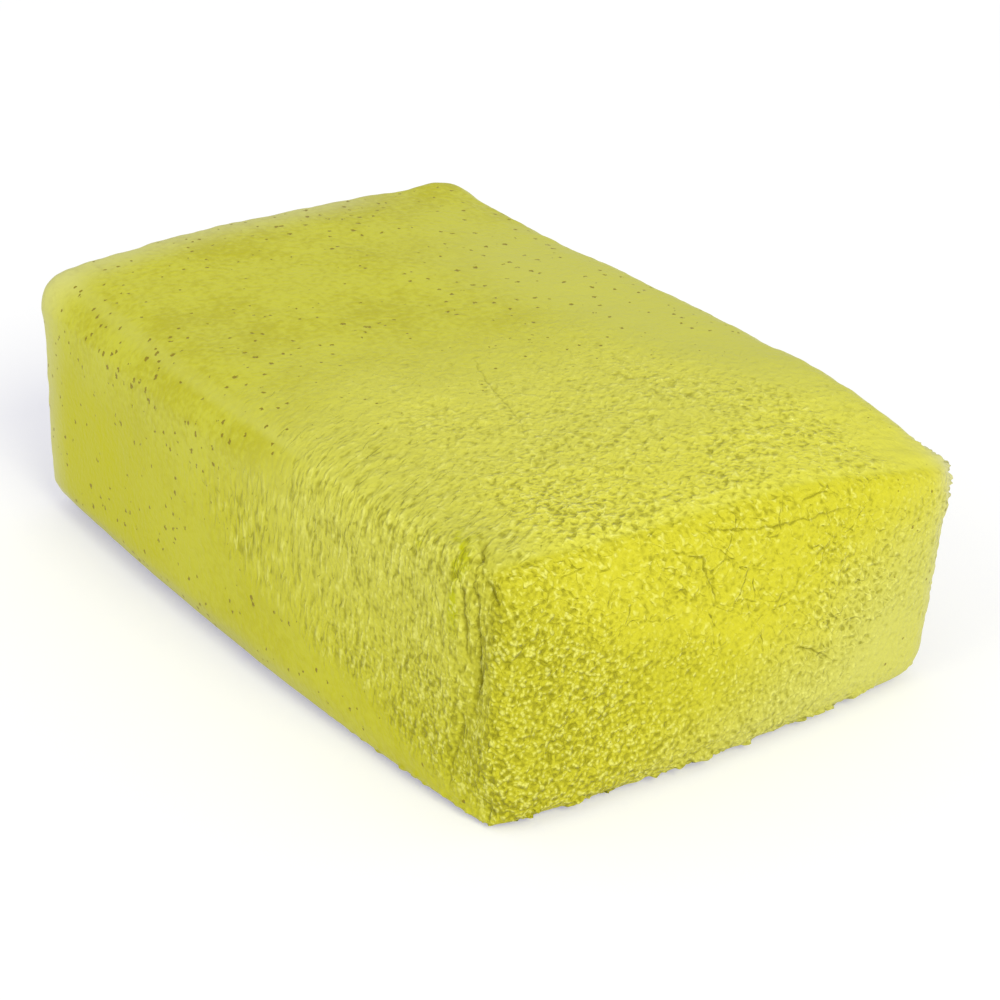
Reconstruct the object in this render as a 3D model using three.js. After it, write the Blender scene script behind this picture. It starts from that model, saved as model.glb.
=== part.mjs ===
// Detailing clay bar: one slab of pliable polymer clay, resting on its broad flat base.
// Units are millimetres. +X runs along the slab to its kneaded end, +Y across it, +Z up.
// The origin is the middle of the base.

import * as THREE from 'three';
import { mergeVertices } from 'three/addons/utils/BufferGeometryUtils.js';

// Driving dimensions: the outer box of the slab.
const LENGTH = 78;
const WIDTH = 50;
const HEIGHT = 25;

// Cells along each edge of the starting box. They crowd towards the edges, which are rounded.
const CELLS = { x: 28, y: 18, z: 10 };
const CROWDING = 0.36;

// How far each face is eaten into by the rounding of its edges.
const ROUND_KNEADED_END = 3.4;
const ROUND_PLAIN_END = 2.9;
const ROUND_LEFT = 4.6;
const ROUND_RIGHT = { plainEnd: 6.3, kneadedEnd: 1.8 };
const ROUND_TOP = { plainEnd: 4.9, kneadedEnd: 2.6 };
const ROUND_BASE = 3.1;

// What moulding and handling did to the slab after it was cut square.
const SIDE_BULGE = 1.8; // the right long side, at mid length
const END_BULGE = 0.6; // the kneaded end, at mid width
const TOP_CROWN = 0.4; // rise of the top in its middle
const PLAIN_END_CROWN = 1.3; // rise of the top at the plain end, at mid width
const CORNER_DROOP = 2.9; // fall of the top at the kneaded end's left corner
const DROOP_START = { x: 19.5, y: 4 }; // where that fall begins
const CORNER_UNDERCUT = 1.6; // how far that corner draws in at the base

const CLAY_COLOUR = new THREE.Color(0.57, 0.56, 0.07);
const CLAY_ROUGHNESS = 0.62;

const HALF_LENGTH = LENGTH / 2;
const HALF_WIDTH = WIDTH / 2;

/** Smooth rise from 0 to 1 as t goes from 0 to 1. */
function smoothRise(t) {
  const s = THREE.MathUtils.clamp(t, 0, 1);
  return s * s * (3 - 2 * s);
}

/** Moves a coordinate within -1..1 towards the nearer end of that range. */
function crowdToEdges(t) {
  return t * (1 + CROWDING * (1 - t * t));
}

/** A square-cut box with merged corners, its base on z = 0. */
function squareCutSlab() {
  const box = new THREE.BoxGeometry(2, 2, 2, CELLS.x, CELLS.y, CELLS.z);
  box.deleteAttribute('normal');
  box.deleteAttribute('uv');
  const slab = mergeVertices(box);
  const position = slab.getAttribute('position');
  for (let i = 0; i < position.count; i++) {
    const x = HALF_LENGTH * crowdToEdges(position.getX(i));
    const y = HALF_WIDTH * crowdToEdges(position.getY(i));
    const z = (HEIGHT / 2) * (1 + crowdToEdges(position.getZ(i)));
    position.setXYZ(i, x, y, z);
  }
  return slab;
}

/** Pulls a point of the square-cut surface in to the rounded edge or corner. */
function roundEdges(point) {
  const nearness = smoothRise((point.x / HALF_LENGTH + 1) / 2);
  const roundRight = THREE.MathUtils.lerp(ROUND_RIGHT.plainEnd, ROUND_RIGHT.kneadedEnd, nearness);
  const roundTop = THREE.MathUtils.lerp(ROUND_TOP.plainEnd, ROUND_TOP.kneadedEnd, nearness);
  const reach = new THREE.Vector3(
    point.x > 0 ? ROUND_KNEADED_END : ROUND_PLAIN_END,
    point.y > 0 ? ROUND_LEFT : roundRight,
    point.z > HEIGHT / 2 ? roundTop : ROUND_BASE,
  );
  const core = point.clone().clamp(
    new THREE.Vector3(ROUND_PLAIN_END - HALF_LENGTH, roundRight - HALF_WIDTH, ROUND_BASE),
    new THREE.Vector3(HALF_LENGTH - ROUND_KNEADED_END, HALF_WIDTH - ROUND_LEFT, HEIGHT - roundTop),
  );
  const outward = point.clone().sub(core).divide(reach).normalize();
  point.copy(core).add(outward.multiply(reach));
}

/** Swells the right side and the kneaded end, and draws the left corner in at the base. */
function shapeSides(point) {
  const along = point.x / HALF_LENGTH;
  const across = point.y / HALF_WIDTH;
  const height = point.z / HEIGHT;
  const undercut =
    CORNER_UNDERCUT * smoothRise((along + 0.2) / 1.2) * smoothRise((across + 0.2) / 1.2) * (1 - height);
  const sideBulge = SIDE_BULGE * (1 - along ** 2) * Math.max(-across, 0);
  const endBulge = END_BULGE * (1 - across ** 2) * Math.max(along, 0) ** 4;
  point.x += endBulge - undercut;
  point.y -= sideBulge + undercut;
}

/** Crowns the top, in its middle and at the plain end, and lets its left corner droop. */
function shapeTop(point) {
  const along = point.x / HALF_LENGTH;
  const across = point.y / HALF_WIDTH;
  const height = point.z / HEIGHT;
  const crown =
    (1 - across ** 2) * (TOP_CROWN * (1 - along ** 2) + PLAIN_END_CROWN * smoothRise(-along));
  const droop =
    CORNER_DROOP *
    smoothRise((point.x - DROOP_START.x) / (HALF_LENGTH - DROOP_START.x)) *
    smoothRise((point.y - DROOP_START.y) / (HALF_WIDTH - DROOP_START.y));
  point.z += (crown - droop) * height;
}

/** Scales the shaped slab to its driving dimensions, centred over the origin. */
function fitToSize(slab) {
  slab.computeBoundingBox();
  const size = slab.boundingBox.getSize(new THREE.Vector3());
  const centre = slab.boundingBox.getCenter(new THREE.Vector3());
  slab.translate(-centre.x, -centre.y, 0);
  slab.scale(LENGTH / size.x, WIDTH / size.y, HEIGHT / size.z);
}

function claySlab() {
  const slab = squareCutSlab();
  const position = slab.getAttribute('position');
  const point = new THREE.Vector3();
  for (let i = 0; i < position.count; i++) {
    point.fromBufferAttribute(position, i);
    roundEdges(point);
    shapeSides(point);
    shapeTop(point);
    position.setXYZ(i, point.x, point.y, point.z);
  }
  fitToSize(slab);
  return slab;
}

const clay = new THREE.MeshStandardMaterial({
  color: CLAY_COLOUR,
  roughness: CLAY_ROUGHNESS,
  metalness: 0,
});

const clayBar = new THREE.Mesh(claySlab(), clay);
clayBar.name = 'clay_bar';

const part = new THREE.Group();
part.add(clayBar);

export default part;
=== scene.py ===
"""Looks for a detailing clay bar: a slab of waxy yellow clay, smooth at one end and kneaded at the other.

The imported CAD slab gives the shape. Its surface is remeshed finely and given the relief that handling left
in the clay: drag marks, wrinkles, torn flakes, crumbs, pinholes and creases. Lengths inside this script are
in millimetres, and are turned into metres where Blender needs them.
"""

import math
from itertools import product

import bpy
import numpy as np
from mathutils import Matrix, Vector


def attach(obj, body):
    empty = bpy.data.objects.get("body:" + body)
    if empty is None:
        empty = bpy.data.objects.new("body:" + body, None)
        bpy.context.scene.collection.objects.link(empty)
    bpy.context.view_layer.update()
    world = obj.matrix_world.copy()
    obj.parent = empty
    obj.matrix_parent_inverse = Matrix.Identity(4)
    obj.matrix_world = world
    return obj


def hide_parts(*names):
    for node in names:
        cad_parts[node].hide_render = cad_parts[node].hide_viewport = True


MM = 0.001
SEED = 27

# The camera, as azimuth and elevation about a point inside the slab.
CAMERA_AZIMUTH = math.radians(55.86)
CAMERA_ELEVATION = math.radians(24.99)
CAMERA_DISTANCE = 271.8
CAMERA_TARGET = (7.72, -1.89, 12.3)
CAMERA_LENS = 111.96
SENSOR_WIDTH = 36.0

FLOOR_SIZE = 12.0
FLOOR_COLOUR = (0.90, 0.90, 0.62, 1.0)
FLOOR_GLOW = (0.12, 0.12, 0.40, 1.0)

# The light of the white room, and two lamps: name, place, target, width and watts.
ROOM_STRENGTH = 0.72
LAMPS = (
    ("key", (1440, -180, 990), (10, 0, 10), 900, 15.3),
    ("front_fill", (180, -1260, 900), (0, 0, 10), 900, 3.1),
)

VOXEL = 0.25
FACET_SMOOTHING = 12
MOST_FACES = 196_000


def smooth_rise(value, start, end):
    """Smooth rise from 0 at start to 1 at end; end may be the lower of the two."""
    t = np.clip((value - start) / (end - start), 0.0, 1.0)
    return t * t * (3.0 - 2.0 * t)


# --------------------------------------------------------------------------------------------------
# Camera, floor and light


def camera_axes():
    """The camera's right, up and backward directions."""
    az, el = CAMERA_AZIMUTH, CAMERA_ELEVATION
    back = Vector((math.sin(az) * math.cos(el), -math.cos(az) * math.cos(el), math.sin(el)))
    right = Vector((math.cos(az), math.sin(az), 0.0))
    return right, back.cross(right), back


def add_camera():
    data = bpy.data.cameras.new("camera")
    data.lens = CAMERA_LENS
    data.sensor_width = SENSOR_WIDTH
    data.clip_start = 0.01
    camera = bpy.data.objects.new("camera", data)
    bpy.context.scene.collection.objects.link(camera)
    right, up, back = camera_axes()
    place = Vector(CAMERA_TARGET) * MM + back * CAMERA_DISTANCE * MM
    turn = Matrix((right, up, back)).transposed().to_4x4()
    camera.matrix_world = Matrix.Translation(place) @ turn
    bpy.context.scene.camera = camera


def add_floor():
    """A white floor. It glows a little blue, to make up for the yellow light that the clay throws on it."""
    half = FLOOR_SIZE / 2
    corners = [(-half, -half, 0), (half, -half, 0), (half, half, 0), (-half, half, 0)]
    mesh = bpy.data.meshes.new("floor")
    mesh.from_pydata(corners, [], [(0, 1, 2, 3)])
    floor = bpy.data.objects.new("floor", mesh)
    bpy.context.scene.collection.objects.link(floor)
    material = bpy.data.materials.new("floor_white")
    material.use_nodes = True
    shader = material.node_tree.nodes["Principled BSDF"]
    shader.inputs["Base Color"].default_value = FLOOR_COLOUR
    shader.inputs["Roughness"].default_value = 0.9
    shader.inputs["Specular IOR Level"].default_value = 0.0
    shader.inputs["Emission Color"].default_value = FLOOR_GLOW
    shader.inputs["Emission Strength"].default_value = 1.0
    mesh.materials.append(material)


def add_lamp(name, place, target, width, watts):
    data = bpy.data.lights.new(name, "AREA")
    data.shape = "DISK"
    data.size = width * MM
    data.energy = watts
    lamp = bpy.data.objects.new(name, data)
    lamp.location = Vector(place) * MM
    aim = (Vector(target) - Vector(place)).to_track_quat("-Z", "Y")
    lamp.rotation_euler = aim.to_euler()
    bpy.context.scene.collection.objects.link(lamp)


def add_light():
    world = bpy.data.worlds.new("white_room")
    world.use_nodes = True
    background = world.node_tree.nodes["Background"]
    background.inputs["Color"].default_value = (1.0, 1.0, 1.0, 1.0)
    background.inputs["Strength"].default_value = ROOM_STRENGTH
    bpy.context.scene.world = world
    for lamp in LAMPS:
        add_lamp(*lamp)


def set_view():
    view = bpy.context.scene.view_settings
    view.view_transform = "Standard"
    view.look = "None"


# --------------------------------------------------------------------------------------------------
# Repeatable noise over points in millimetres


def lattice_values(cells, seed):
    """A repeatable value from 0 to 1 for each row of whole numbers."""
    mixed = (cells[:, 0] * 73856093) ^ (cells[:, 1] * 19349663) ^ (cells[:, 2] * 83492791)
    mixed = (mixed ^ (seed * 2654435761)) & 0xFFFFFFFF
    mixed = ((mixed ^ (mixed >> 15)) * 2246822519) & 0xFFFFFFFF
    mixed = ((mixed ^ (mixed >> 13)) * 3266489917) & 0xFFFFFFFF
    mixed = mixed ^ (mixed >> 16)
    return mixed / 0xFFFFFFFF


# Turns the noise's grid, so that its rows don't line up with the slab.
TURN = np.array(Matrix.Rotation(0.7, 3, Vector((0.3, 0.5, 0.8)))).T
NOISE_LAYERS = 3


def noise(points, pitch, seed):
    """Smooth noise from -1 to 1 whose bumps are about one pitch apart."""
    scaled = (points @ TURN) / pitch
    base = np.floor(scaled).astype(np.int64)
    part = scaled - base
    part = part * part * part * (part * (part * 6.0 - 15.0) + 10.0)
    total = np.zeros(len(points))
    for corner in product((0, 1), repeat=3):
        weight = np.prod(np.where(np.array(corner) == 1, part, 1.0 - part), axis=1)
        total += weight * lattice_values(base + np.array(corner), seed)
    return 2.0 * total - 1.0


def layered_noise(points, pitch, seed):
    """Noise with finer, weaker layers on top."""
    total = np.zeros(len(points))
    for layer in range(NOISE_LAYERS):
        total += noise(points, pitch / 2**layer, seed + layer) / 2**layer
    return total / 1.5


def streaks(points, direction, pitch, length, seed, samples=9):
    """Noise smeared along a direction, with a spread of about 1."""
    total = np.zeros(len(points))
    for step in np.linspace(-0.5, 0.5, samples):
        total += noise(points + direction * (step * length), pitch, seed)
    return total / (total.std() + 1e-9)


def cell_noise(points, pitch, seed):
    """Distances to the two nearest scattered seeds, in pitches, and the nearest one's offset and value."""
    scaled = (points @ TURN) / pitch
    base = np.floor(scaled).astype(np.int64)
    nearest = np.full(len(points), 9.0)
    second = np.full(len(points), 9.0)
    offset = np.zeros((len(points), 3))
    value = np.zeros(len(points))
    for corner in product((-1, 0, 1), repeat=3):
        cell = base + np.array(corner)
        jitter = np.stack([lattice_values(cell, seed + k) for k in range(3)], axis=1)
        away = scaled - cell - jitter
        distance = np.linalg.norm(away, axis=1)
        closer = distance < nearest
        second = np.where(closer, nearest, np.minimum(second, distance))
        nearest = np.where(closer, distance, nearest)
        offset = np.where(closer[:, None], away, offset)
        value = np.where(closer, lattice_values(cell, seed + 3), value)
    return nearest, second, offset @ TURN.T, value


# --------------------------------------------------------------------------------------------------
# The slab's fine mesh


def fine_mesh(node):
    """A fine, even mesh of a CAD node, with its facets smoothed away."""
    source = bpy.data.objects.new("source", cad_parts[node].data.copy())
    bpy.context.scene.collection.objects.link(source)
    remesh = source.modifiers.new("even_mesh", "REMESH")
    remesh.mode = "VOXEL"
    remesh.voxel_size = VOXEL * MM
    relax = source.modifiers.new("no_facets", "SMOOTH")
    relax.factor = 0.5
    relax.iterations = FACET_SMOOTHING
    mesh = applied_mesh(source)
    bpy.data.objects.remove(source)
    mesh.materials.clear()
    return mesh


def applied_mesh(piece):
    """The piece's mesh with its modifiers applied, as a new mesh."""
    shown = piece.evaluated_get(bpy.context.evaluated_depsgraph_get())
    return bpy.data.meshes.new_from_object(shown)


def vertex_array(mesh, field):
    values = np.zeros(len(mesh.vertices) * 3)
    mesh.vertices.foreach_get(field, values)
    return values.reshape(-1, 3)


def edge_array(mesh):
    ends = np.zeros(len(mesh.edges) * 2, dtype=np.int32)
    mesh.edges.foreach_get("vertices", ends)
    return ends.reshape(-1, 2)


def blurred(values, edges, rounds):
    """Values averaged with their neighbours along the mesh's edges, several times over."""
    count = np.bincount(edges.ravel(), minlength=len(values))
    for _ in range(rounds):
        total = np.bincount(edges[:, 0], values[edges[:, 1]], len(values))
        total += np.bincount(edges[:, 1], values[edges[:, 0]], len(values))
        values = 0.5 * values + 0.5 * total / np.maximum(count, 1)
    return values


# --------------------------------------------------------------------------------------------------
# Where the slab is smooth and where it is worked


class Skin:
    """The smooth surface before its relief: places in millimetres, normals, and how spots were handled."""

    def __init__(self, mesh):
        self.at = vertex_array(mesh, "co") / MM
        self.out = vertex_array(mesh, "normal")
        self.edges = edge_array(mesh)
        x, y, z = self.at.T
        self.end = smooth_rise(self.out[:, 0], 0.3, 0.75)
        faces_sideways = np.maximum(np.abs(self.out[:, 1]), -self.out[:, 0])
        self.side = smooth_rise(faces_sideways, 0.3, 0.75) * (1.0 - self.end)
        self.base = smooth_rise(-self.out[:, 2], 0.3, 0.8)
        self.top = 1.0 - np.maximum(np.maximum(self.end, self.side), self.base)
        self.wobble = 3.0 * layered_noise(self.at, 9.0, SEED) + 0.8 * noise(self.at, 2.2, SEED + 5)
        self.on_top = self.worked_top(x, y)
        self.on_side = self.worked_side(x, y, z)
        self.torn = self.torn_end(y, z)
        flake_line = 10.0 - 0.5 * y
        self.flaky = self.end * self.torn * smooth_rise(z - flake_line + 0.5 * self.wobble, -2.5, 2.5)
        self.crumbly = self.end * self.torn - self.flaky
        self.fresh = self.top * self.fresh_margin(x, y)
        self.side_pale = 0.6 * smooth_rise(x + self.wobble, 0.0, 16.0) * smooth_rise(z, 6.0, 16.0)
        # the left side and the plain end
        self.far_faces = smooth_rise(np.maximum(self.out[:, 1], -self.out[:, 0]), 0.5, 0.9)

    def worked_top(self, x, y):
        """Rubbing has roughened the top towards the kneaded end, less so near the left edge."""
        start = 3.0 + 22.0 * smooth_rise(y, 8.0, 23.0)
        sparse = smooth_rise(x + 1.5 * self.wobble, start - 16.0, start + 4.0)
        dense = smooth_rise(x + self.wobble, start + 1.0, start + 14.0)
        return 0.5 * sparse + 0.5 * dense

    def worked_side(self, x, y, z):
        """On the right side the rubbed patch stops short of the upper edge and of a slanting line below."""
        start = -7.0 + 15.0 * smooth_rise(z, 14.0, 23.0)
        low_line = 10.3 - 0.27 * (x - 1.5)
        patch = smooth_rise(x + 1.3 * self.wobble, start - 3.0, start + 11.0)
        patch *= smooth_rise(z - low_line + 0.5 * self.wobble, -1.5, 2.5)
        left_patch = 0.5 * smooth_rise(x + self.wobble, 24.0, 34.0)
        return np.where(y < 0, patch, left_patch)

    def torn_end(self, y, z):
        """The kneaded end is torn but for a smoother band at its left, which widens below."""
        band_edge = 17.5 - 0.9 * np.clip(10.0 - z, 0.0, None)
        return 1.0 - 0.8 * smooth_rise(y - band_edge + 0.6 * self.wobble, -3.5, 2.5)

    def fresh_margin(self, x, y):
        """Freshly kneaded clay, a brighter yellow, reaches over the kneaded end's edge onto the top."""
        margin = smooth_rise(x + 0.5 * self.wobble, 20.0, 33.0) * smooth_rise(y, -21.0, -14.0)
        return margin * (1.0 - 0.5 * smooth_rise(y, 12.0, 21.0))

    def course(self):
        """Coordinates whose second axis follows the strokes, up the right side and aslant over the top."""
        x, y, z = self.at.T
        return np.stack([x + 0.52 * (y + 25.0) - 0.2 * z, y + z, 0.3 * x], axis=1)

    def smear_course(self):
        """Coordinates whose second axis runs along the smears on the kneaded end, down to the left."""
        x, y, z = self.at.T
        return np.stack([0.67 * y + 0.74 * z, 0.74 * y - 0.67 * z, x], axis=1)

    def stroke_direction(self, wander, seed):
        """Unit directions along the strokes, wandering by an angle."""
        along = np.cross(self.out, (1.0, 0.0, 0.0)) - 0.5 * self.top[:, None] * np.array((1.0, 0.0, 0.0))
        along /= np.linalg.norm(along, axis=1, keepdims=True) + 1e-9
        sideways = np.cross(self.out, along)
        angle = wander * noise(self.at, 4.0, seed)
        return along * np.cos(angle)[:, None] + sideways * np.sin(angle)[:, None]


def top_wrinkles(skin, right_edge):
    """Wrinkles of the top, weak by the right edge and on the drooping corner, strong by the near corner."""
    x, y, _ = skin.at.T
    near_end = 0.2 * smooth_rise(x, 24.0, 32.0)
    droop = 0.8 * smooth_rise(x, 26.0, 34.0) * smooth_rise(y, 14.0, 20.0)
    near_corner = 0.45 * smooth_rise(x, 20.0, 30.0) * smooth_rise(y, -2.0, -12.0)
    wrinkles = 0.76 * skin.top * skin.on_top * (1.0 - 0.6 * right_edge)
    return wrinkles * (1.0 + near_end) * (1.0 - droop) * (1.0 + near_corner)


def end_coarseness(skin):
    """How coarse the kneaded end is: most towards its right, and more at mid height on its left."""
    _, y, z = skin.at.T
    patch = 0.25 * smooth_rise(y, 3.0, 10.0) * smooth_rise(z, 21.0, 17.0) * smooth_rise(z, 5.0, 11.0)
    return 1.1 - 0.3 * smooth_rise(y, -14.0, -4.0) + patch


def grain_amount(skin, wrinkles):
    """Packed crumbs: most where the kneaded end crumbles, fewer on its flakes and on the rubbed skin."""
    x, y, z = skin.at.T
    coarse_side = smooth_rise(x + skin.wobble, 8.0, 30.0) * (1.0 - 0.4 * smooth_rise(z, 9.0, 16.0))
    grains = skin.crumbly * (1.0 - 0.3 * smooth_rise(y, 0.0, 14.0))
    grains += 0.42 * skin.flaky + 0.5 * skin.end * (1.0 - skin.torn)
    grains += skin.side * skin.on_side * (0.15 + 0.75 * coarse_side) + 0.35 * wrinkles
    return grains


def pit_clusters(skin):
    """Pinholes come in clusters. The densest is on the right side's upper edge, near its middle."""
    x, y, z = skin.at.T
    clusters = 0.62 + 0.42 * smooth_rise(layered_noise(skin.at, 8.0, 311), -0.35, 0.35)
    densest = np.exp(-((x + 4.0) ** 2 / 40.0 + (y + 20.0) ** 2 / 12.0 + (z - 24.0) ** 2 / 9.0))
    return clusters + 0.4 * densest


def handled(skin):
    """How strongly each kind of fine mark shows at each spot, from 0 to about 1, by attribute name."""
    patches = smooth_rise(layered_noise(skin.at, 5.0, 301), -0.7, 0.4)
    right_edge = smooth_rise(skin.at[:, 1], -12.0, -20.0)
    strokes = skin.side * skin.on_side + 0.7 * skin.top * skin.on_top * right_edge
    wrinkles = top_wrinkles(skin, right_edge)
    coarseness = end_coarseness(skin)
    smears = 0.8 * skin.flaky + 0.3 * skin.crumbly
    grains = grain_amount(skin, wrinkles)
    rubbed = skin.side * skin.on_side + skin.top * skin.on_top + skin.end * skin.torn
    rubbed = np.clip(rubbed, 0.0, 1.0)
    return {
        "strokes": 0.96 * strokes * (0.75 + 0.25 * patches),
        "wrinkles": wrinkles * (0.8 + 0.2 * patches),
        "smears": 1.1 * coarseness * smears * (0.5 + 0.5 * patches),
        "plates": skin.flaky + 0.35 * skin.crumbly,
        "grains": 1.37 * np.where(skin.end > 0.0, coarseness, 1.0) * grains * (0.7 + 0.3 * patches),
        "pits": (1.0 - 0.7 * rubbed) * pit_clusters(skin),
        "rubbed": rubbed,
    }


def rubbed_tones(skin):
    """Rubbing has paled and worn the clay, and kneading has brightened it beside the kneaded end."""
    x, y, z = skin.at.T
    rubbed_pale = 0.75 * smooth_rise(x + 1.5 * skin.wobble, -12.0, 12.0)
    rounding = 4.0 * skin.top * skin.side
    pale = skin.top * rubbed_pale + skin.side * skin.side_pale + 0.6 * rounding
    pale = np.maximum(pale, skin.top * smooth_rise(y, 2.0, 16.0) * smooth_rise(x, -34.0, -14.0))
    droop = smooth_rise(x, 24.0, 36.0) * smooth_rise(y, 8.0, 20.0)
    worn_top = smooth_rise(skin.on_top, 0.2, 0.9) * (1.0 - 0.5 * smooth_rise(y, -12.0, -21.0))
    worn_side = 0.6 * skin.on_side * smooth_rise(z, 2.0, 10.0)
    worn = np.maximum(skin.top * np.maximum(worn_top, droop), skin.side * worn_side)
    return {
        "pale": np.clip(pale, 0.0, 1.0) * (1.0 - skin.end),
        "worn": worn * (1.0 - skin.end),
        "fresh": 0.9 * skin.fresh * (1.0 - skin.end),
    }


def end_tones(skin, wedge):
    """Kneaded end: yellow, painted shade on crumbs, near the corner and in its hollow, paler left band with
    painted sheen.
    """
    x, y, z = skin.at.T
    corner_end = skin.end * smooth_rise(y, -14.0, -20.0)
    corner_side = smooth_rise(x, 32.0, 36.0) * smooth_rise(y, -20.0, -23.0)
    near_corner = np.maximum(corner_end, corner_side)
    return {
        "yellow": skin.end,
        # Painted shade: a darker olive tone on crumbling clay and near the vertical corner.
        "olive_shade": np.clip(0.5 * skin.crumbly + 0.35 * near_corner, 0.0, 0.8),
        # The smooth band's paler tone, partly its own clay and partly painted sheen.
        "waxy_sheen": skin.end * smooth_rise(y - 1.65 * z + skin.wobble, -20.0, 6.0),
        # Painted shade in the corner hollow.
        "corner_shade": 0.4 * np.clip(wedge, 0.0, 1.0),
    }


def side_tones(skin):
    """Down the sides the clay is sour yellow, with darker, greyer painted shade along the foot, and lemon
    streaks by the near corner.
    """
    x, y, z = skin.at.T
    sour = (1.0 - skin.side_pale) * smooth_rise(z, 21.5, 13.0) * (1.0 - 0.5 * smooth_rise(x, -25.0, -5.0))
    sour *= smooth_rise(-x, 39.0, 33.0) * (1.0 - 0.75 * skin.far_faces)
    foot = smooth_rise(z, 5.0, 0.5) * (1.0 - 0.9 * smooth_rise(x, 6.0, 22.0))
    lemon = smooth_rise(x, 27.0, 30.0) * smooth_rise(x, 36.0, 34.0) * smooth_rise(z, 15.0, 19.0)
    lemon *= smooth_rise(y, -20.0, -22.5)
    lemon *= smooth_rise(streaks(skin.at, skin.stroke_direction(0.2, 321), 0.9, 5.0, 323), 0.4, 1.3)
    return {
        "sour": skin.side * sour,
        # Painted shade, darker and greyer, along the foot of the sides next to the floor.
        "foot_shade": 0.8 * skin.side * foot,
        "lemon": lemon * (1.0 - skin.end),
    }


def painted_sheen_tones(skin):
    """Painted sheen: a pale band along the far rims and the kneaded end's left rim, and on the far faces."""
    x, y, z = skin.at.T
    high = smooth_rise(z, 14.0, 21.0)
    left_edge = smooth_rise(y, 22.5, 25.0) * high
    far_corner = smooth_rise(y, -12.0, -20.0)
    plain_rim = smooth_rise(-x, 31.0, 38.0) * smooth_rise(y, 18.0, 8.0) * np.maximum(high, far_corner)
    far_rim = np.maximum(np.maximum(left_edge, plain_rim), 0.5 * skin.far_faces)
    left_rim = smooth_rise(x, 30.0, 37.0) * smooth_rise(y, 20.5, 24.5) * smooth_rise(z, 1.0, 8.0)
    # Painted sheen along the rims that the view grazes.
    return {"rim_sheen": np.clip(0.45 * far_rim + 0.45 * left_rim, 0.0, 0.6)}


def tones(skin, wedge):
    """How far each spot's clay leans to each of the other tones, from 0 to 1, by attribute name."""
    return rubbed_tones(skin) | end_tones(skin, wedge) | side_tones(skin) | painted_sheen_tones(skin)


# --------------------------------------------------------------------------------------------------
# Relief, each kind as heights in millimetres


# Corners that stand out or are worn away: height, reach and place.
CORNERS = (
    (0.95, 2.8, (-37.0, -22.5, 22.5)),
    (0.55, 3.6, (-37.5, 22.0, 23.5)),
    (-0.65, 3.0, (36.5, -23.5, 1.5)),
)


def lumps(skin):
    """The broad unevenness of a block shaped by hand, with its ragged far rims and uneven corners."""
    x, y, _ = skin.at.T
    rims = np.maximum(smooth_rise(y, 20.0, 24.0), smooth_rise(-x, 34.0, 38.0)) * (1.0 - skin.end)
    total = 0.26 * layered_noise(skin.at, 17.0, 101)
    total += (0.09 - 0.04 * skin.end) * layered_noise(skin.at, 4.5, 111)
    total += 0.14 * rims * layered_noise(skin.at, 2.4, 117)
    for height, reach, place in CORNERS:
        total += height * np.exp(-np.sum(((skin.at - place) / reach) ** 2, axis=1))
    return total


def folds(skin):
    """Long folds drawn up the right side near the kneaded end, and over its upper edge."""
    x, y, _ = skin.at.T
    marks = streaks(skin.at, skin.stroke_direction(0.2, 121), 0.95, 6.0, 131, samples=7)
    near = smooth_rise(x + skin.wobble, 20.0, 32.0) * smooth_rise(y, -17.0, -21.0) * (1.0 - skin.end)
    return near * (0.026 * np.clip(marks, -1.6, 1.2) - 0.05 * smooth_rise(marks, -0.9, -2.0))


def ripples(skin):
    """Low worm-like ripples wherever the top and the right side were rubbed."""
    marks = streaks(skin.at, skin.stroke_direction(1.6, 161), 0.85, 2.2, 171, samples=5)
    return 0.045 * (skin.top * skin.on_top + 0.25 * skin.side * skin.on_side) * np.clip(marks, -2.0, 1.5)


def warped(points, amount, pitch, seed):
    shift = np.stack([noise(points, pitch, seed + k) for k in range(3)], axis=1)
    return points + amount * shift


def flakes(skin):
    """Torn, smeared plates on the upper part of the kneaded end, overlapping like scales."""
    total = np.zeros(len(skin.at))
    course = skin.smear_course()
    for pitch, depth, seed in ((3.8, 0.16, 201), (1.7, 0.09, 207)):
        stretched = warped(course, 0.45 * pitch, pitch, seed) * (1.0, 0.55, 1.0)
        nearest, second, offset, value = cell_noise(stretched, pitch, seed + 3)
        lip = smooth_rise(second - nearest, 0.0, 0.22)
        total += depth * lip * (0.6 * (value - 0.5) + 0.8 * offset[:, 0])
    return (skin.flaky + 0.25 * skin.crumbly) * total


def granules(skin):
    """Crumb-sized grains on the lower part of the kneaded end and low on the right side beside it."""
    x, _, z = skin.at.T
    low_side = skin.side * skin.on_side * smooth_rise(x - z, 8.0, 30.0)
    rough = warped(skin.at, 0.3, 0.8, 211)
    nearest, _, _, value = cell_noise(rough, 0.80, 221)
    grain = 0.15 * (0.5 - nearest) + 0.09 * (value - 0.5)
    clump = 0.09 * layered_noise(skin.at, 1.9, 231)
    return (skin.crumbly + 0.5 * low_side) * grain + (skin.crumbly + 0.2 * low_side) * clump


RELIEF = (folds, ripples, flakes, granules)


def path_distance(points, out, path):
    """Distance of each point from a polyline, how far along it, from 0 to 1, and its side, -1 or 1."""
    best = np.full(len(points), np.inf)
    along = np.zeros(len(points))
    side = np.zeros(len(points))
    parts = len(path) - 1
    for k in range(parts):
        start, step = path[k], path[k + 1] - path[k]
        t = np.clip((points - start) @ step / (step @ step), 0.0, 1.0)
        away = points - start - t[:, None] * step
        distance = np.linalg.norm(away, axis=1)
        closer = distance < best
        best = np.where(closer, distance, best)
        along = np.where(closer, (k + t) / parts, along)
        side = np.where(closer, np.sign(np.sum(np.cross(step, away) * out, axis=1)), side)
    return best, along, side


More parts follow.
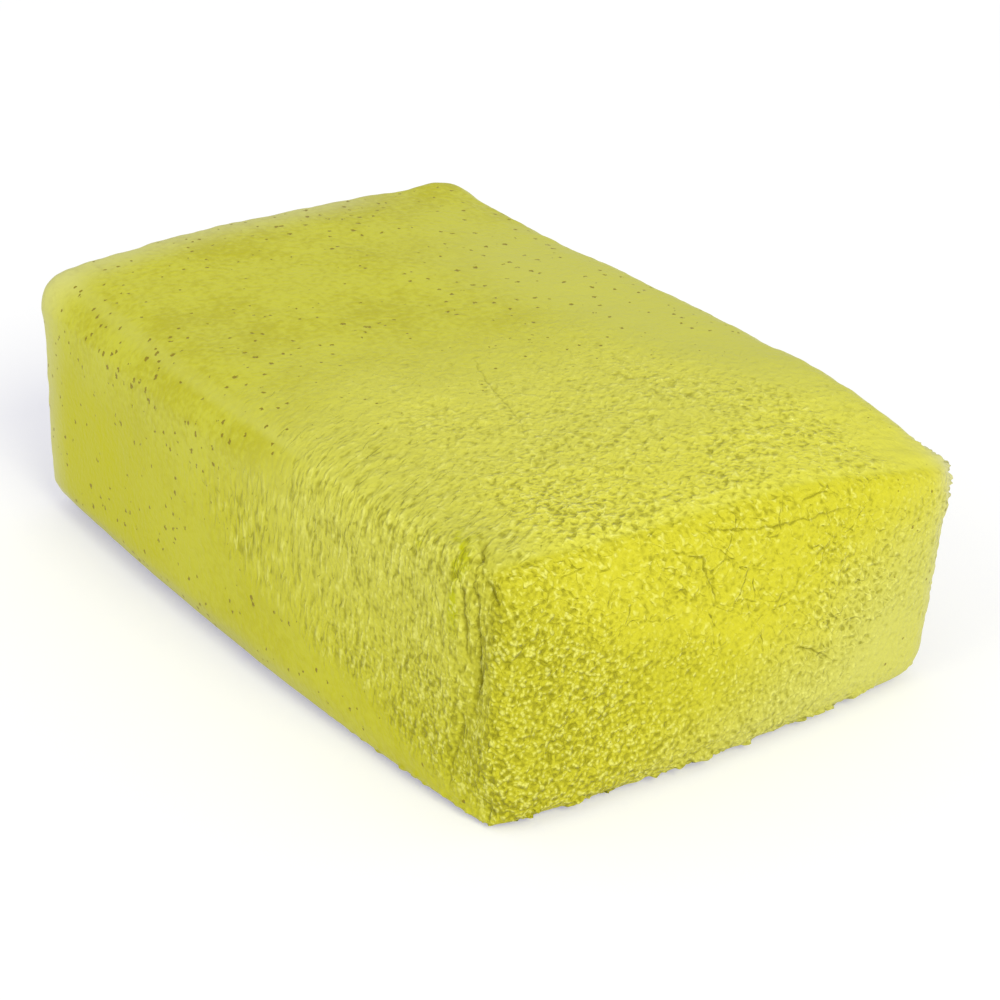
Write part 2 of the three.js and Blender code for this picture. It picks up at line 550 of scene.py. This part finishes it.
# Creases that can be seen one by one: depth, half width, and a path whose points are moved onto the
# surface. A negative depth stands up as a ridge.
CREASES = (
    # across the top
    (0.12, 0.20, ((2.5, -1.5, 25.0), (8.5, -3.5, 25.0), (17.0, -6.0, 25.0), (19.5, -7.5, 25.0))),
    (0.09, 0.18, ((13.5, 0.5, 25.0), (17.0, -4.0, 25.0))),
    # down the vertical corner between the right side and the kneaded end
    (0.36, 0.22, ((33.5, -20.5, 24.0), (35.5, -22.5, 23.5), (36.0, -23.5, 20.5), (36.0, -23.5, 17.0))),
    (0.36, 0.22, ((36.0, -23.5, 17.5), (36.0, -23.5, 13.5), (35.5, -23.5, 11.5))),
    (0.45, 0.42, ((37.0, -23.0, 22.0), (38.0, -22.5, 20.5))),
    (-0.22, 0.45, ((38.0, -21.5, 22.5), (38.5, -21.5, 19.0), (38.5, -21.5, 15.0), (38.5, -22.0, 11.5))),
    (0.18, 0.30, ((34.5, -24.0, 9.5), (33.0, -24.0, 5.0), (32.5, -24.0, 2.0))),
    (0.13, 0.26, ((30.0, -24.0, 21.5), (31.5, -24.0, 18.5), (32.0, -24.0, 14.0))),
    (0.34, 0.26, ((33.0, -23.0, 23.5), (34.5, -23.5, 20.0), (34.5, -23.5, 15.0))),
    (0.30, 0.24, ((26.0, -20.0, 24.0), (28.5, -24.0, 21.5))),
    # across the kneaded end
    (0.20, 0.17, ((39.0, -3.5, 23.0), (39.0, -2.5, 21.5), (39.0, 5.0, 20.5), (39.0, 12.5, 20.5))),
    (0.22, 0.17, ((39.0, -5.5, 20.5), (39.0, -4.0, 20.0), (39.0, -2.0, 15.0))),
    (0.26, 0.20, ((39.0, 6.5, 8.5), (39.0, 8.0, 8.0), (39.0, 10.5, 6.5))),
    (0.22, 0.17, ((39.0, 6.5, 22.0), (39.0, 7.5, 22.5), (39.0, 9.5, 22.0))),
)

# The hollow down the vertical corner: depth, half width and path.
CORNER_HOLLOW = (
    0.6,
    1.6,
    (
        (37.0, -23.0, 23.0),
        (37.0, -23.0, 19.0),
        (36.0, -23.5, 15.5),
        (35.5, -23.5, 11.0),
        (34.0, -24.0, 5.0),
    ),
)


def on_surface(skin, path):
    """The points of a path, each moved to the nearest point of the surface."""
    return np.array([skin.at[np.argmin(np.sum((skin.at - point) ** 2, axis=1))] for point in path])


def incised(distance, along, half_width):
    """How far a groove bites, from 0 to 1. It tapers out at both ends."""
    taper = np.sqrt(np.sin(np.pi * (0.08 + 0.84 * along)))
    return taper * np.exp(-((distance / half_width) ** 2))


def creases(skin, rough_at):
    """The creases' relief, the signed distance from the nearest one, and how strongly painted shade shows on
    its floor.
    """
    total = np.zeros(len(skin.at))
    nearest = np.full(len(skin.at), np.inf)
    offset = np.zeros(len(skin.at))
    strength = np.zeros(len(skin.at))
    for depth, half_width, path in CREASES:
        distance, along, side = path_distance(rough_at, skin.out, on_surface(skin, path))
        total -= depth * incised(distance, along, half_width)
        if depth > 0.0:
            shown = min(depth / 0.3, 0.9) * smooth_rise(along, 0.0, 0.12) * smooth_rise(along, 1.0, 0.88)
            closer = distance < nearest
            nearest = np.where(closer, distance, nearest)
            offset = np.where(closer, side * distance, offset)
            strength = np.where(closer, shown, strength)
    return total, offset, strength * smooth_rise(nearest, 0.6, 0.35)


def fringe(skin):
    """Crumbs standing out sideways along the base of the kneaded end, and around its left corner."""
    x, y, z = skin.at.T
    base_edge = smooth_rise(z, 2.6, 1.0) * (1.0 - smooth_rise(-skin.out[:, 2], 0.8, 0.95))
    along_end = smooth_rise(x, 34.0, 37.0) * smooth_rise(y, 20.0, 12.0)
    front = np.maximum(along_end, 0.4 * smooth_rise(x, 10.0, 26.0))
    front *= np.where((x < 34.0) & (y > 0), 0.0, 1.0)
    tufts = 0.25 + 0.75 * smooth_rise(z, 15.0, 18.0)
    left_corner = smooth_rise(x, 30.0, 35.0) * smooth_rise(y, 21.0, 23.5) * smooth_rise(z, 2.0, 6.0) * tufts
    where = np.maximum(1.25 * base_edge * front, left_corner)
    crumbs = smooth_rise(noise(skin.at, 0.48, 261) + 0.7 * noise(skin.at, 1.7, 263), 0.1, 0.9)
    return 0.45 * where * crumbs


# Rounds of blurring that give the level from which a spot's hollowness is measured.
LEVEL_ROUNDS = 14

# How far loose clay on the kneaded end is pushed about, in millimetres.
LOOSENESS = 0.12


def shape_skin(mesh):
    """Gives the mesh its relief, and stores on it what the material needs to know."""
    skin = Skin(mesh)
    rough_at = warped(skin.at, 0.2, 1.1, 241)
    depth, half_width, path = CORNER_HOLLOW
    distance, along, _ = path_distance(rough_at, skin.out, on_surface(skin, path))
    wedge = incised(distance, along, half_width)
    fine, crack_offset, crack = creases(skin, rough_at)
    for kind in RELIEF:
        fine += kind(skin)
    fine *= 1.0 - 0.8 * skin.base
    height = fine + lumps(skin) * (1.0 - skin.base) - depth * wedge
    sideways = skin.out * (1.0, 1.0, 0.0)
    sideways /= np.linalg.norm(sideways, axis=1, keepdims=True) + 1e-9
    ragged = np.stack([noise(skin.at, 0.8, 251 + k) for k in range(3)], axis=1)
    looseness = LOOSENESS * np.maximum(skin.crumbly, skin.flaky)
    place = skin.at + skin.out * height[:, None] + ragged * looseness[:, None]
    place += sideways * fringe(skin)[:, None]
    place[:, 2] = np.maximum(place[:, 2], 0.0)
    mesh.vertices.foreach_set("co", (place * MM).ravel())
    mesh.update()
    # hollow is how far a spot lies below its blurred level; by it the material lays painted shade in hollows
    # and painted highlight on ridges.
    store(mesh, "hollow", blurred(fine, skin.edges, LEVEL_ROUNDS) - fine)
    store(mesh, "crack_offset", crack_offset)
    # crack sets both the crease lines' cut in the bump and their painted shade.
    store(mesh, "crack", crack)
    store(mesh, "course", skin.course())
    store(mesh, "smear_course", skin.smear_course())
    for name, values in (handled(skin) | tones(skin, wedge)).items():
        store(mesh, name, values)


def store(mesh, name, values):
    """Keeps a number or a vector for each vertex, under a name."""
    values = np.asarray(values, dtype=np.float32)
    if values.ndim == 1:
        mesh.attributes.new(name, "FLOAT", "POINT").data.foreach_set("value", values)
    else:
        mesh.attributes.new(name, "FLOAT_VECTOR", "POINT").data.foreach_set("vector", values.ravel())


def thinned(mesh):
    """The mesh with fewer triangles, most of them left where the relief is."""
    mesh.calc_loop_triangles()
    carrier = bpy.data.objects.new("carrier", mesh)
    bpy.context.scene.collection.objects.link(carrier)
    thin = carrier.modifiers.new("fewer_faces", "DECIMATE")
    thin.ratio = min(1.0, MOST_FACES / len(mesh.loop_triangles))
    result = applied_mesh(carrier)
    bpy.data.objects.remove(carrier)
    return result


# --------------------------------------------------------------------------------------------------
# The clay


SMOOTH_COLOUR = (0.56, 0.555, 0.038)
MOTTLED_COLOUR = (0.47, 0.45, 0.014)
# Painted shade, laid in hollows and in the valleys of the fine marks.
HOLLOW_SHADE_COLOUR = (0.27, 0.25, 0.003)
# Painted highlight, laid on ridges and on the crests of the fine marks.
RIDGE_HIGHLIGHT_COLOUR = (0.86, 0.85, 0.20)
# Painted shade along the floors of the creases.
CRACK_SHADE_COLOUR = (0.17, 0.15, 0.003)
# Painted shade inside the pinholes.
PIT_SHADE_COLOUR = (0.24, 0.17, 0.005)
FLECK_COLOUR = (0.78, 0.76, 0.30)

# The roughness of smooth and of rubbed clay, and the height in millimetres of a fine mark of 1.
SMOOTH_ROUGHNESS = 0.46
RUBBED_ROUGHNESS = 0.62
MARK_HEIGHT = 0.05

# The other tones of the clay, in the order in which they are laid on. Some of them are painted shade and
# painted sheen.
TONES = (
    ("pale", (0.555, 0.55, 0.074)),
    ("worn", (0.625, 0.61, 0.076)),
    ("yellow", (0.59, 0.555, 0.023)),
    ("fresh", (0.69, 0.665, 0.058)),
    # painted shade on crumbling clay and by the vertical corner
    ("olive_shade", (0.50, 0.478, 0.016)),
    ("sour", (0.52, 0.503, 0.001)),
    # paler smooth band: its own tone with painted sheen
    ("waxy_sheen", (0.57, 0.56, 0.103)),
    # painted shade in the corner hollow
    ("corner_shade", (0.36, 0.345, 0.014)),
    # painted shade along the foot of the sides
    ("foot_shade", (0.46, 0.45, 0.105)),
    ("lemon", (0.50, 0.51, 0.001)),
    # painted sheen along the far rims
    ("rim_sheen", (0.645, 0.63, 0.385)),
)


class Nodes:
    """Adds nodes to a material. Each method takes numbers or outputs and gives back an output."""

    def __init__(self, material):
        material.use_nodes = True
        self.tree = material.node_tree
        self.shader = self.tree.nodes["Principled BSDF"]

    def add(self, kind, **settings):
        node = self.tree.nodes.new(kind)
        for name, value in settings.items():
            setattr(node, name, value)
        return node

    def feed(self, socket, value):
        """Links an output to a socket, or sets the socket to a number, vector or colour."""
        if isinstance(value, bpy.types.NodeSocket):
            self.tree.links.new(value, socket)
        else:
            socket.default_value = value

    def attribute(self, name):
        return self.add("ShaderNodeAttribute", attribute_name=name).outputs["Fac"]

    def vector_attribute(self, name):
        return self.add("ShaderNodeAttribute", attribute_name=name).outputs["Vector"]

    def place(self):
        """The place on the object in millimetres."""
        node = self.add("ShaderNodeVectorMath", operation="SCALE")
        self.feed(node.inputs["Vector"], self.add("ShaderNodeTexCoord").outputs["Object"])
        self.feed(node.inputs["Scale"], 1.0 / MM)
        return node.outputs["Vector"]

    def stretched(self, at, factors):
        node = self.add("ShaderNodeVectorMath", operation="MULTIPLY")
        self.feed(node.inputs[0], at)
        self.feed(node.inputs[1], factors)
        return node.outputs["Vector"]

    def calc(self, operation, first, second):
        node = self.add("ShaderNodeMath", operation=operation)
        self.feed(node.inputs[0], first)
        self.feed(node.inputs[1], second)
        return node.outputs["Value"]

    def total(self, *terms):
        result = terms[0]
        for term in terms[1:]:
            result = self.calc("ADD", result, term)
        return result

    def noise(self, at, pitch, detail=0.0, wander=0.0):
        """Noise about zero with a spread of about 1."""
        node = self.add("ShaderNodeTexNoise")
        self.feed(node.inputs["Vector"], at)
        self.feed(node.inputs["Scale"], 1.0 / pitch)
        self.feed(node.inputs["Detail"], detail)
        self.feed(node.inputs["Distortion"], wander)
        return self.calc("MULTIPLY", self.calc("SUBTRACT", node.outputs["Fac"], 0.5), 8.0)

    def lines(self, at, pitch, width, spread):
        """Thin wandering lines in broken lengths, 1 along their middle, and none where the spread is 0."""
        line = self.ranged(self.calc("ABSOLUTE", self.noise(at, pitch, wander=0.6), 0.0), width, 0.0)
        crowd = self.calc("ADD", self.noise(at, 0.8 * pitch), self.calc("MULTIPLY", spread, 1.8))
        shown = self.calc("MULTIPLY", self.ranged(crowd, 0.9, 2.0), self.ranged(spread, 0.0, 0.25))
        return self.calc("MULTIPLY", line, shown)

    def dots(self, at, pitch, radius):
        """1 inside scattered balls, 0 outside. The radius is a part of the pitch, and may vary."""
        node = self.add("ShaderNodeTexVoronoi")
        self.feed(node.inputs["Vector"], at)
        self.feed(node.inputs["Scale"], 1.0 / pitch)
        beyond = self.calc("SUBTRACT", node.outputs["Distance"], radius)
        return self.ranged(beyond, 0.0, -0.05)

    def shifted(self, at, pitch, amount):
        """Places moved about by noise, by up to about half the amount."""
        noise = self.add("ShaderNodeTexNoise")
        self.feed(noise.inputs["Vector"], at)
        self.feed(noise.inputs["Scale"], 1.0 / pitch)
        move = self.add("ShaderNodeVectorMath", operation="MULTIPLY_ADD")
        self.feed(move.inputs[0], noise.outputs["Color"])
        self.feed(move.inputs[1], (amount, amount, amount))
        self.feed(move.inputs[2], at)
        return move.outputs["Vector"]

    def plate_edges(self, at, pitch):
        """Heights of torn plates' edges: here and there a thin crack below zero, with a lip beside it."""
        node = self.add("ShaderNodeTexVoronoi", feature="DISTANCE_TO_EDGE")
        self.feed(node.inputs["Vector"], self.shifted(at, pitch, pitch))
        self.feed(node.inputs["Scale"], 1.0 / pitch)
        distance = node.outputs["Distance"]
        crack = self.ranged(distance, 0.035, 0.0, 0.0, -1.15)
        rise = self.ranged(distance, 0.02, 0.06)
        lip = self.calc("MULTIPLY", rise, self.ranged(distance, 0.13, 0.06, 0.0, 0.6))
        shown = self.ranged(self.noise(at, 0.7 * pitch), 0.1, 1.1)
        return self.calc("MULTIPLY", self.calc("ADD", crack, lip), shown)

    def crumbs(self, at, pitch):
        """Packed round crumbs about zero, high in their middles, with a spread of about 1."""
        node = self.add("ShaderNodeTexVoronoi")
        self.feed(node.inputs["Vector"], at)
        self.feed(node.inputs["Scale"], 1.0 / pitch)
        return self.calc("MULTIPLY", self.calc("SUBTRACT", 0.5, node.outputs["Distance"]), 6.0)

    def ranged(self, value, low, high, out_low=0.0, out_high=1.0):
        node = self.add("ShaderNodeMapRange", interpolation_type="SMOOTHSTEP")
        names = ("Value", "From Min", "From Max", "To Min", "To Max")
        for name, given in zip(names, (value, low, high, out_low, out_high)):
            self.feed(node.inputs[name], given)
        return node.outputs["Result"]

    def blend(self, low, high, factor):
        """A colour between two others."""
        node = self.add("ShaderNodeMix", data_type="RGBA")
        sockets = {socket.identifier: socket for socket in node.inputs}
        for name, value in (("A_Color", low), ("B_Color", high), ("Factor_Float", factor)):
            self.feed(sockets[name], (*value, 1.0) if isinstance(value, tuple) else value)
        return next(socket for socket in node.outputs if socket.identifier == "Result_Color")


# Fine marks: the attribute that says where they are and the course they follow. Then for their noise and
# for their lines, the stretch along the course and the pitch, and for the lines also a width and a depth.
COURSE_MARKS = (
    ("strokes", "course", (0.30, 0.46), (0.32, 0.95, 0.42, 1.0)),
    ("wrinkles", "course", (0.85, 0.58), (0.75, 1.0, 0.38, 0.35)),
    ("smears", "smear_course", (0.6, 0.38), (0.5, 0.95, 0.30, 0.7)),
)


def fine_marks(nodes, at):
    """The marks too fine for the mesh, as heights with a spread of up to about 1."""
    rough = nodes.calc("MULTIPLY", nodes.noise(at, 0.46, detail=0.5, wander=0.2), 0.6)
    crumbs = nodes.calc("MULTIPLY", nodes.crumbs(at, 0.42), 0.7)
    edges = nodes.plate_edges(nodes.vector_attribute("smear_course"), 2.6)
    terms = [
        nodes.calc("MULTIPLY", nodes.total(rough, crumbs), nodes.attribute("grains")),
        nodes.calc("MULTIPLY", edges, nodes.attribute("plates")),
    ]
    for name, course_name, (noise_stretch, noise_pitch), (stretch, pitch, width, depth) in COURSE_MARKS:
        amount = nodes.attribute(name)
        course = nodes.vector_attribute(course_name)
        drawn_out = nodes.stretched(course, (1.0, noise_stretch, 1.0))
        rough = nodes.noise(drawn_out, noise_pitch, detail=0.5, wander=0.5)
        lines = nodes.lines(nodes.stretched(course, (1.0, stretch, 1.0)), pitch, width, amount)
        terms.append(nodes.calc("MULTIPLY", rough, amount))
        terms.append(nodes.calc("MULTIPLY", lines, -depth))
    return nodes.total(*terms)


def cracks(nodes, at):
    """Thin lines along the creases, 1 along their middle, cut into the bump and laid on the colour as
    painted shade.
    """
    waver = nodes.calc("MULTIPLY", nodes.noise(at, 0.6), 0.04)
    offset = nodes.calc("ADD", nodes.attribute("crack_offset"), waver)
    line = nodes.ranged(nodes.calc("ABSOLUTE", offset, 0.0), 0.15, 0.02)
    return nodes.calc("MULTIPLY", line, nodes.attribute("crack"))


def clay_colour(nodes, at, marks, crack, pits):
    mottling = nodes.total(nodes.noise(at, 7.0, detail=2.0), nodes.noise(at, 0.6, detail=2.0))
    colour = nodes.blend(SMOOTH_COLOUR, MOTTLED_COLOUR, nodes.ranged(mottling, -1.5, 2.5))
    for name, tone in TONES:
        colour = nodes.blend(colour, tone, nodes.attribute(name))
    hollow = nodes.attribute("hollow")
    # Painted shade darkens hollows and mark valleys, and painted highlight lightens ridges and mark crests.
    colour = nodes.blend(colour, HOLLOW_SHADE_COLOUR, nodes.ranged(hollow, 0.015, 0.20, 0.0, 0.50))
    colour = nodes.blend(colour, RIDGE_HIGHLIGHT_COLOUR, nodes.ranged(hollow, -0.02, -0.16, 0.0, 0.28))
    colour = nodes.blend(colour, HOLLOW_SHADE_COLOUR, nodes.ranged(marks, -0.1, -2.4, 0.0, 0.65))
    colour = nodes.blend(colour, RIDGE_HIGHLIGHT_COLOUR, nodes.ranged(marks, 0.1, 2.4, 0.0, 0.55))
    # Painted shade along the crease floors.
    colour = nodes.blend(colour, CRACK_SHADE_COLOUR, nodes.calc("MULTIPLY", crack, 0.55))
    flecks = nodes.dots(nodes.stretched(at, (1.0, 1.0, 0.6)), 4.3, 0.03)
    colour = nodes.blend(colour, FLECK_COLOUR, nodes.calc("MULTIPLY", flecks, 0.5))
    # Painted shade fills the pinholes.
    return nodes.blend(colour, PIT_SHADE_COLOUR, nodes.calc("MULTIPLY", pits, 0.85))


def clay_material():
    material = bpy.data.materials.new("clay")
    nodes = Nodes(material)
    at = nodes.place()
    marks = fine_marks(nodes, at)
    ragged = nodes.ranged(nodes.noise(at, 0.22), -1.5, 1.5, 0.12, 0.24)
    pits = nodes.dots(at, 1.35, nodes.calc("MULTIPLY", nodes.attribute("pits"), ragged))
    skin_grain = nodes.calc("MULTIPLY", nodes.noise(at, 0.6, detail=1.5), 0.25)
    crack = cracks(nodes, at)
    cuts = nodes.calc("MULTIPLY", nodes.calc("ADD", pits, crack), -1.0)
    height = nodes.total(marks, skin_grain, cuts)
    bump = nodes.add("ShaderNodeBump")
    nodes.feed(bump.inputs["Height"], nodes.calc("MULTIPLY", height, MARK_HEIGHT * MM))
    nodes.feed(bump.inputs["Distance"], 1.0)
    roughness = nodes.ranged(nodes.attribute("rubbed"), 0.0, 1.0, SMOOTH_ROUGHNESS, RUBBED_ROUGHNESS)
    shader = nodes.shader
    nodes.feed(shader.inputs["Normal"], bump.outputs["Normal"])
    nodes.feed(shader.inputs["Base Color"], clay_colour(nodes, at, marks, crack, pits))
    nodes.feed(shader.inputs["Roughness"], roughness)
    shader.inputs["Specular IOR Level"].default_value = 0.15
    shader.inputs["Sheen Weight"].default_value = 0.06
    shader.inputs["Sheen Roughness"].default_value = 0.15
    return material


def add_clay_body():
    shaped = fine_mesh("clay_bar")
    shape_skin(shaped)
    body = bpy.data.objects.new("clay_body", thinned(shaped))
    bpy.context.scene.collection.objects.link(body)
    for polygon in body.data.polygons:
        polygon.use_smooth = True
    body.data.materials.append(clay_material())
    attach(body, "root")
    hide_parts("clay_bar")


def main():
    set_view()
    add_camera()
    add_floor()
    add_light()
    add_clay_body()


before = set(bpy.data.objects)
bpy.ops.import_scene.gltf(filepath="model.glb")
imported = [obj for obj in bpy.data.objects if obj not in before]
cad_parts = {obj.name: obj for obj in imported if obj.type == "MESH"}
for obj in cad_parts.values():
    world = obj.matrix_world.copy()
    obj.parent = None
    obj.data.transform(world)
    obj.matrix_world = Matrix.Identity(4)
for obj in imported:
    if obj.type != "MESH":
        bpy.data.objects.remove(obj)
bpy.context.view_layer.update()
main()
